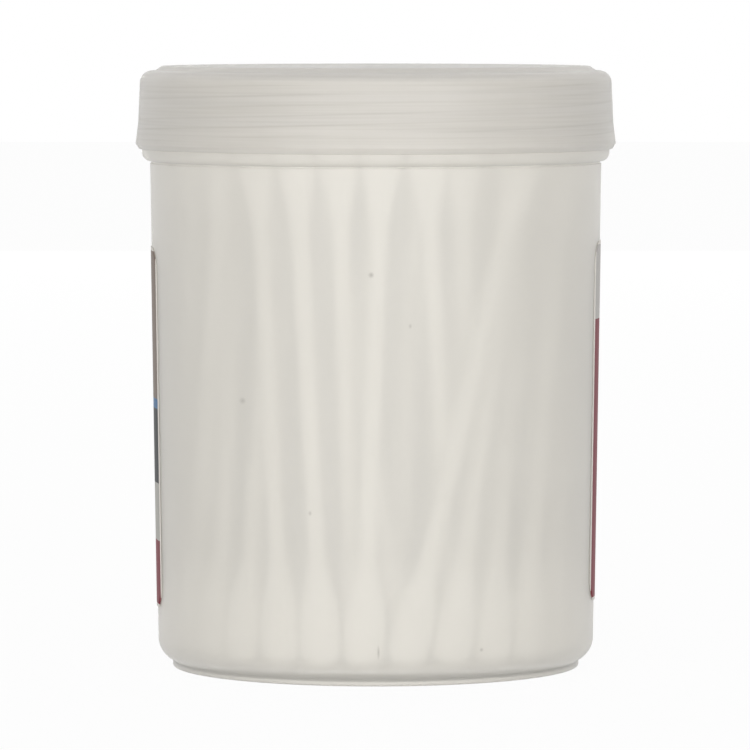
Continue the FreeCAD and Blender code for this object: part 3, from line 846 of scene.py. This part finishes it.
# Fields of print, each from a height up, for the label's left end, middle and right end
labelFields = [
    (0.0, [(0, "maroon"), (0.184, "paleGrey"), (0.347, "charcoal"), (0.553, "blue"), (0.58, "warmGrey")]),
    (0.24, [(0, "charcoal"), (0.12, "blue"), (0.15, "maroon"), (0.93, "lightGrey")]),
    (0.76, [(0, "maroon"), (0.784, "lightGrey")]),
]
# Round and oval shapes on the fields: place along and up the label, half width and half height
labelShapes = [
    (0.5, 0.56, 15.0 * mm, 15.0 * mm, "lightGrey"),
    (0.5, 0.56, 13.6 * mm, 13.6 * mm, "warmGrey"),
    (0.5, 0.56, 12.6 * mm, 12.6 * mm, "paleGrey"),
    (0.5, 0.73, 6.0 * mm, 1.6 * mm, "maroon"),
    (0.5, 0.66, 4.2 * mm, 1.0 * mm, "charcoal"),
    (0.44, 0.5, 2.6 * mm, 2.6 * mm, "blue"),
    (0.5, 0.5, 2.6 * mm, 2.6 * mm, "maroon"),
    (0.56, 0.5, 2.6 * mm, 2.6 * mm, "charcoal"),
]


def makeLabelMaterial():
    # Coated paper, offset printed in flat fields: even colours under a little gloss, a bare cut edge, and
    # the print showing faintly through to the glued side
    look = labelLook
    material, tree, shader = newMaterial("coatedLabelPaper")
    uv = addNode(tree, "ShaderNodeUVMap", uv_map="print").outputs[0]
    across = addNode(tree, "ShaderNodeSeparateXYZ", {0: uv}).outputs
    known = {"u": across["X"], "v": across["Y"],
             "side": addNode(tree, "ShaderNodeAttribute", attribute_name="gluedSide").outputs["Fac"]}
    colour = srgb(look["paper"])
    for start, stops in labelFields:
        ramp = addNode(tree, "ShaderNodeValToRGB", {0: known["v"]})
        ramp.color_ramp.interpolation = "CONSTANT"
        for i, (height, name) in enumerate(stops):
            element = ramp.color_ramp.elements[i] if i < 2 else ramp.color_ramp.elements.new(height)
            element.position, element.color = height, srgb(look[name])
        addSteps(tree, "ShaderNodeMath", known, [("past", "GREATER_THAN", "u", start)])
        colour = addNode(tree, "ShaderNodeMix", {0: known["past"], 6: colour, 7: ramp.outputs[0]},
                         data_type="RGBA").outputs[2]
    for u, v, halfWidth, halfHeight, name in labelShapes:
        wide, tall = labelLength / halfWidth, labelHeight / halfHeight
        spot = addNode(tree, "ShaderNodeMapping",
                       {"Vector": uv, "Location": (-u * wide, -v * tall, 0), "Scale": (wide, tall, 0)})
        apart = addNode(tree, "ShaderNodeVectorMath", {0: spot.outputs[0]}, operation="LENGTH")
        known["apart"] = apart.outputs[1]
        addSteps(tree, "ShaderNodeMath", known, [("inside", "LESS_THAN", "apart", 1.0)])
        colour = addNode(tree, "ShaderNodeMix", {0: known["inside"], 6: colour, 7: srgb(look[name])},
                         data_type="RGBA").outputs[2]
    addSteps(tree, "ShaderNodeMath", known, [
        ("fromRight", "SUBTRACT", 1.0, "u"),
        ("nearU", "MINIMUM", "u", "fromRight"),
        ("nearEnd", "MULTIPLY", "nearU", labelLength),
        ("fromTop", "SUBTRACT", 1.0, "v"),
        ("nearV", "MINIMUM", "v", "fromTop"),
        ("nearEdge", "MULTIPLY", "nearV", labelHeight),
        ("near", "MINIMUM", "nearEnd", "nearEdge"),
        ("bare", "LESS_THAN", "near", look["border"]),
        ("backShare", "MULTIPLY", "side", 1 - look["showThrough"]),
        ("paperShare", "MAXIMUM", "bare", "backShare"),
    ])
    colour = addNode(tree, "ShaderNodeMix", {0: known["paperShare"], 6: colour, 7: srgb(look["paper"])},
                     data_type="RGBA").outputs[2]
    tree.links.new(colour, shader.inputs["Base Color"])
    where = addNode(tree, "ShaderNodeTexCoord").outputs["Object"]
    fibre = addNode(tree, "ShaderNodeTexNoise",
                    {"Vector": where, "Scale": 1 / look["fibreSize"], "Detail": 3.0})
    bump = addNode(tree, "ShaderNodeBump",
                   {"Height": fibre.outputs[0], "Strength": look["fibreStrength"],
                    "Distance": look["fibreDepth"]})
    tree.links.new(bump.outputs[0], shader.inputs["Normal"])
    shader.inputs["Roughness"].default_value = look["roughness"]
    shader.inputs["IOR"].default_value = look["ior"]
    shader.inputs["Specular IOR Level"].default_value = look["gloss"]
    return material


# What the swabs' two materials share: colours, the size of a fibre across and up, and how they stand out
rolledPaperLook = {
    "bright": "#F8F7F3",
    "shade": "#E4E1D8",
    "fibre": (0.55 * mm, 8 * mm),
    "strength": 0.3,
    "depth": 0.02 * mm,
    "roughness": 0.8,
    "sheen": 0.0,
}
woundCottonLook = {
    "bright": "#FCFBF8",
    "shade": "#EFECE4",
    "fibre": (1.1 * mm, 0.4 * mm),
    "strength": 0.5,
    "depth": 0.06 * mm,
    "roughness": 0.95,
    "sheen": 0.3,
}


def makeFibrous(name, look):
    # Rolled uncoated paper is matt with fibres along it; bleached cotton is brighter, with fibres wound
    # across it and a soft rim of light from loose ones
    material, tree, shader = newMaterial(name)
    where = addNode(tree, "ShaderNodeTexCoord").outputs["Object"]
    wide, tall = look["fibre"]
    stretched = addNode(tree, "ShaderNodeMapping",
                        {"Vector": where, "Scale": (1 / wide, 1 / wide, 1 / tall)})
    fibres = addNode(tree, "ShaderNodeTexNoise",
                     {"Vector": stretched.outputs[0], "Scale": 1.0, "Detail": 3.0})
    colour = addNode(tree, "ShaderNodeMix",
                     {0: fibres.outputs[0], 6: srgb(look["bright"]), 7: srgb(look["shade"])},
                     data_type="RGBA")
    tree.links.new(colour.outputs[2], shader.inputs["Base Color"])
    bump = addNode(tree, "ShaderNodeBump",
                   {"Height": fibres.outputs[0], "Strength": look["strength"], "Distance": look["depth"]})
    tree.links.new(bump.outputs[0], shader.inputs["Normal"])
    shader.inputs["Roughness"].default_value = look["roughness"]
    shader.inputs["Sheen Weight"].default_value = look["sheen"]
    return material


# Build the pieces

newPiece("tubPiece", makeTubMesh(), "tub_body", makeTubMaterial(), "tub")
print("tub made")
newPiece("capPiece", makeCapMesh(), "cap_body", makeCapMaterial(), "screw_cap")
print("cap made")
newPiece("labelPiece", makeLabelMesh(), "tub_body", makeLabelMaterial(), "back_label")
print("label made")


def makeSwabs():
    s = swabSizes
    axes = swabAxes()
    swabTree = buildSwabTree()
    paper = makeFibrous("rolledPaper", rolledPaperLook)
    cotton = makeFibrous("woundCotton", woundCottonLook)
    stick, tip, fuzzyTip = makeSwabShapes(cotton)
    # Each row: name, shape, start along the swab, which way it faces, lumps, seed, material, slot and node
    rows = (
        ("swabSticks", stick, s["tipPad"], 1.0, 0.0, 3, paper, "stick_paper", "swab_sticks"),
        ("lowerTips", tip, 0.0, 1.0, s["lumps"], 5, cotton, "cotton", "lower_cotton_tips"),
        ("upperTips", fuzzyTip, s["length"], -1.0, s["lumps"], 8, cotton, "cotton", "upper_cotton_tips"),
    )
    for name, shape, along, flip, lumps, seed, material, slot, node in rows:
        values = {"Piece": shape, "Along": along, "Flip": flip, "Lumps": lumps, "Lump Size": s["lumpSize"],
                  "Seed": seed, "Material": material}
        mesh = runTree(name, swabPoints(axes), swabTree, values)
        newPiece(name + "Piece", mesh, "tub_body", material, node)
        print(name, "made with", len(mesh.polygons), "faces")
    for shape in (stick, tip, fuzzyTip):
        bpy.data.objects.remove(shape)
    print("swabs in all:", len(axes))


makeSwabs()


# Floor, world, lamps and camera

stageLook = {
    "floorSize": 6.0,
    "floorColour": "#F3F3F3",
    "floorWhiteShare": 0.95,
    "floorRoughness": 0.8,
    "worldLight": 0.7,
    "sideShade": 0.8,
    "lampTarget": (0, 0, 0.04),
}


def seenDirectly(tree):
    # 1 for the rays that see the white ground: the camera's, and those in gloss and through glass
    rays = addNode(tree, "ShaderNodeLightPath").outputs
    known = {"camera": rays["Is Camera Ray"], "glossy": rays["Is Glossy Ray"],
             "through": rays["Is Transmission Ray"]}
    addSteps(tree, "ShaderNodeMath", known, [
        ("either", "MAXIMUM", "camera", "glossy"),
        ("seen", "MAXIMUM", "either", "through"),
    ])
    return known


def makeFloor():
    bpy.ops.mesh.primitive_plane_add(size=stageLook["floorSize"], location=(0, 0, 0))
    floor = bpy.context.object
    floor.name = "floor"
    material, tree, shader = newMaterial("paperFloor")
    shader.inputs["Base Color"].default_value = srgb(stageLook["floorColour"])
    shader.inputs["Roughness"].default_value = stageLook["floorRoughness"]
    glow = addNode(tree, "ShaderNodeEmission", {"Color": (1, 1, 1, 1), "Strength": 1.0})
    known = seenDirectly(tree)
    addSteps(tree, "ShaderNodeMath", known, [("share", "MULTIPLY", "seen", stageLook["floorWhiteShare"])])
    mixed = addNode(tree, "ShaderNodeMixShader",
                    {0: known["share"], 1: shader.outputs[0], 2: glow.outputs[0]})
    tree.links.new(mixed.outputs[0], tree.nodes["Material Output"].inputs["Surface"])
    floor.data.materials.append(material)


def makeWorld():
    world = bpy.data.worlds.new("studio")
    world.use_nodes = True
    tree = world.node_tree
    background = tree.nodes["Background"]
    background.inputs["Color"].default_value = (1, 1, 1, 1)
    directions = addNode(tree, "ShaderNodeTexCoord").outputs["Generated"]
    known = seenDirectly(tree)
    known["across"] = addNode(tree, "ShaderNodeSeparateXYZ", {"Vector": directions}).outputs["X"]
    # The room is darker to the left and right, which draws the tub's edges on the white ground
    addSteps(tree, "ShaderNodeMath", known, [
        ("toSide", "MULTIPLY", "across", "across"),
        ("shaded", "MULTIPLY", "toSide", stageLook["sideShade"]),
        ("open", "SUBTRACT", 1.0, "shaded"),
        ("room", "MULTIPLY", "open", stageLook["worldLight"]),
        ("unseen", "SUBTRACT", 1.0, "seen"),
        ("rest", "MULTIPLY", "unseen", "room"),
        ("strength", "ADD", "seen", "rest"),
    ])
    tree.links.new(known["strength"], background.inputs["Strength"])
    bpy.context.scene.world = world


# Each lamp: name, place, width and height, power, and whether gloss mirrors it
lamps = [
    ("frontSoftbox", (0, -1.3, 0.3), (2.6, 0.9), 12.0, True),
    ("backSoftbox", (0, 1.3, 0.3), (2.6, 0.9), 8.0, False),
]


def makeLamp(name, place, size, power, mirrored):
    lamp = bpy.data.lights.new(name, "AREA")
    lamp.shape = "RECTANGLE"
    lamp.size, lamp.size_y = size
    lamp.energy = power
    holder = bpy.data.objects.new(name, lamp)
    bpy.context.collection.objects.link(holder)
    holder.location = place
    aim = Vector(stageLook["lampTarget"]) - Vector(place)
    holder.rotation_euler = aim.to_track_quat("-Z", "Y").to_euler()
    holder.visible_camera = False
    holder.visible_glossy = holder.visible_transmission = mirrored


cameraSizes = {
    "aside": -0.0001,
    "distance": 0.833,
    "height": 0.0905,
    "tilt": math.radians(3.517),
    "lens": 296.0,
    "sensor": 36.0,
    "nearClip": 0.01,
}


def makeCamera():
    s = cameraSizes
    data = bpy.data.cameras.new("photoCamera")
    data.lens, data.sensor_width = s["lens"], s["sensor"]
    data.clip_start = s["nearClip"]
    camera = bpy.data.objects.new("photoCamera", data)
    bpy.context.collection.objects.link(camera)
    camera.location = (s["aside"], -s["distance"], s["height"])
    camera.rotation_euler = (math.pi / 2 - s["tilt"], 0, 0)
    bpy.context.scene.camera = camera


makeFloor()
makeWorld()
for lamp in lamps:
    makeLamp(*lamp)
makeCamera()
bpy.context.scene.view_settings.view_transform = "Standard"
print("stage, lamps and camera made")
